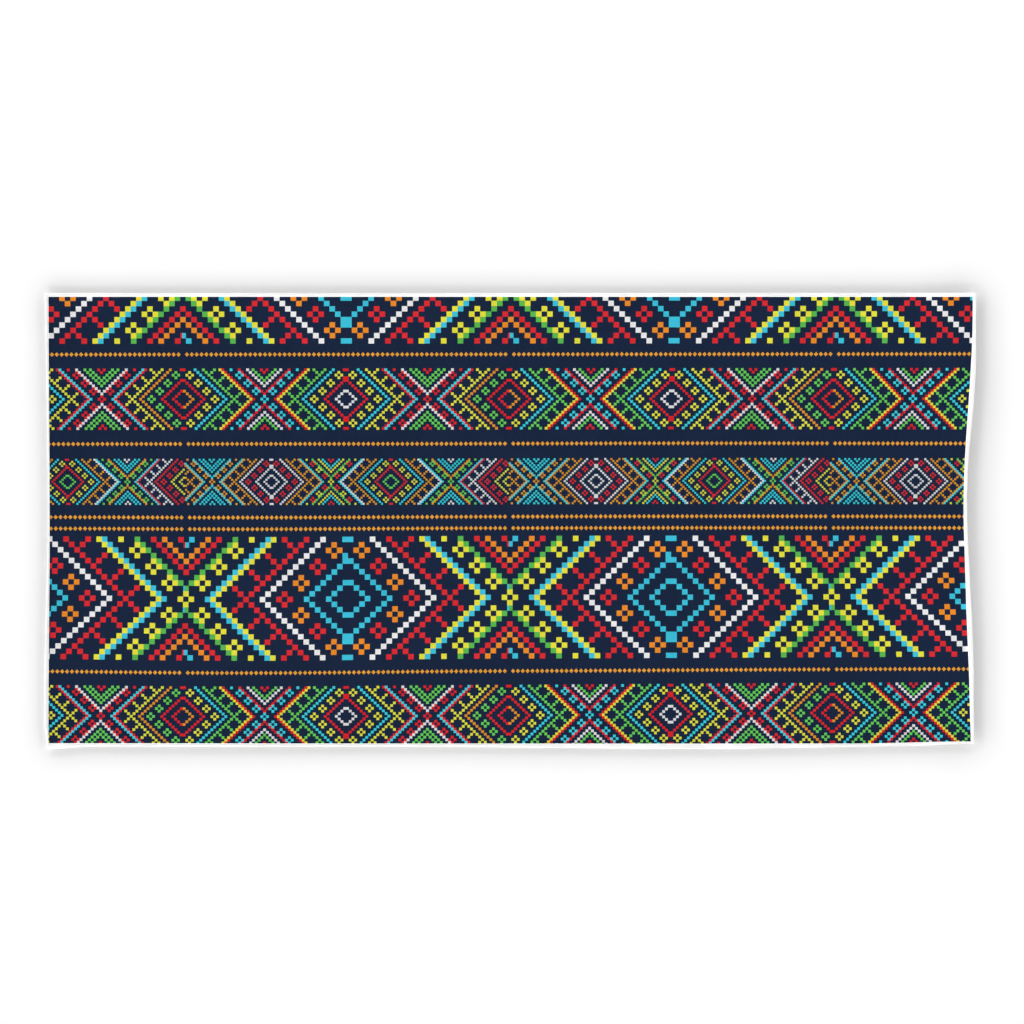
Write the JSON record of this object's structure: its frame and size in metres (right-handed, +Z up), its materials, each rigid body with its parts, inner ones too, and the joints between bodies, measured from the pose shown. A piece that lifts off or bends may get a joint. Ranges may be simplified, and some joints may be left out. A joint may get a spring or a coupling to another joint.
{
  "type": "beach towel",
  "caption": "Rectangular beach towel opened out flat, printed face up, with a narrow turned hem that curls up slightly all round and slightly drawn-in sides.",
  "frame": {"origin": "under the middle of the towel, on the surface it lies on", "axes": "+X along the towel, +Y across it, +Z up out of the printed face"},
  "size_m": [1.526, 0.747, 0.008],
  "materials": {
    "printed_cloth": "short printed pile, matte"
  },
  "bodies": {
    "root": {"towel": "printed_cloth"}
  },
  "joints": []
}
